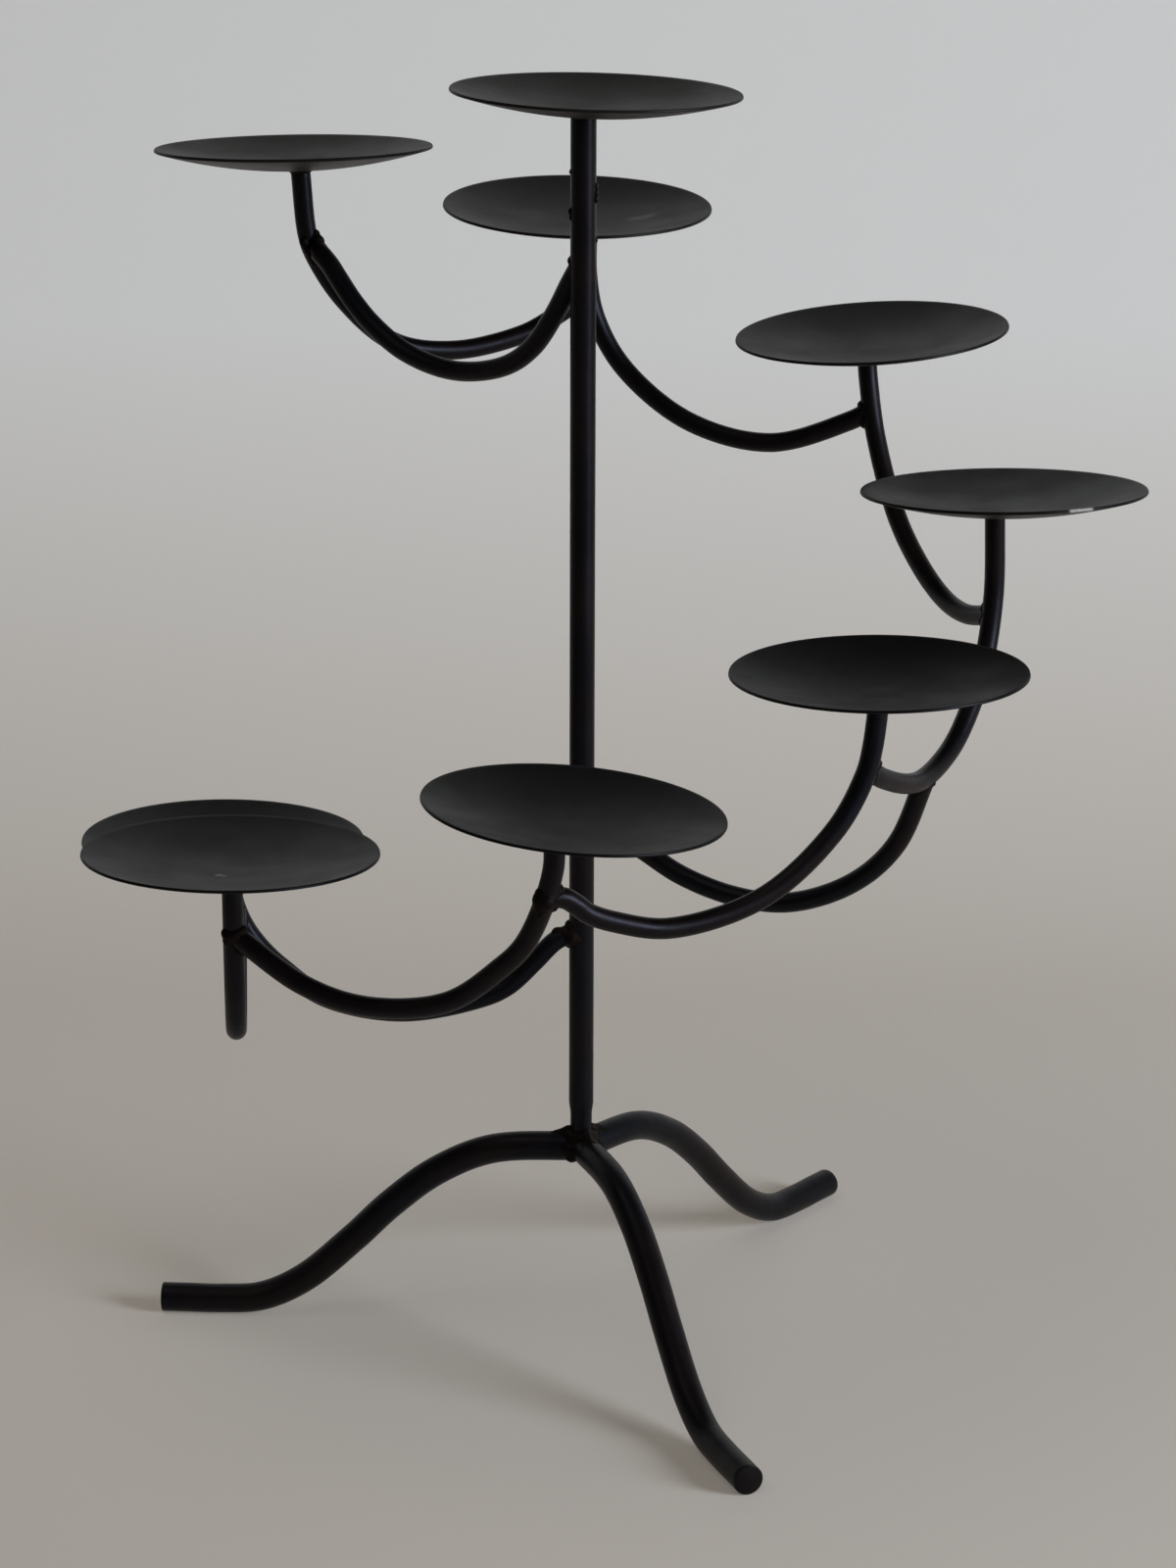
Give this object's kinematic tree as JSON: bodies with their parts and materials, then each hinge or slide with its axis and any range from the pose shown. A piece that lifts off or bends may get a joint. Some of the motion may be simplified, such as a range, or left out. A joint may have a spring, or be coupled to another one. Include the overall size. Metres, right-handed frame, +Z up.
{
  "type": "candelabra",
  "caption": "Welded iron candelabra: bent round arms climb round an upright stem in a spiral, each with a shallow dish for a candle, on splayed bent legs.",
  "frame": {"origin": "middle of the whole object's box, on the table surface", "axes": "+Z up along the stem, +X to the right and +Y away from the viewer as the picture shows it"},
  "size_m": [0.4198, 0.4052, 0.5115],
  "materials": {
    "iron": "satin black paint on round iron bar and pressed sheet, a little worn",
    "weld": "rough black paint over weld beads, slightly brown"
  },
  "bodies": {
    "root": {"arm_2": "iron", "arm_3": "iron", "arm_4": "iron", "arm_5": "iron", "arm_6": "iron", "arm_7": "iron", "arm_8": "iron", "arm_9": "iron", "brace_lower": "iron", "brace_upper": "iron", "dish_1": "iron", "dish_2": "iron", "dish_3": "iron", "dish_4": "iron", "dish_5": "iron", "dish_6": "iron", "dish_7": "iron", "dish_8": "iron", "dish_9": "iron", "leg_back": "iron", "leg_front": "iron", "leg_left": "iron", "stem": "iron", "weld_arm_2": "weld", "weld_arm_3": "weld", "weld_arm_4": "weld", "weld_arm_5": "weld", "weld_arm_6": "weld", "weld_arm_7": "weld", "weld_arm_8": "weld", "weld_arm_9": "weld", "weld_brace_lower_to_arm": "weld", "weld_brace_lower_to_stem": "weld", "weld_brace_upper_to_arm": "weld", "weld_brace_upper_to_stem": "weld", "weld_dish_1": "weld", "weld_dish_2": "weld", "weld_dish_3": "weld", "weld_dish_4": "weld", "weld_dish_5": "weld", "weld_dish_6": "weld", "weld_dish_7": "weld", "weld_dish_8": "weld", "weld_dish_9": "weld", "weld_hub": "weld"}
  },
  "joints": []
}
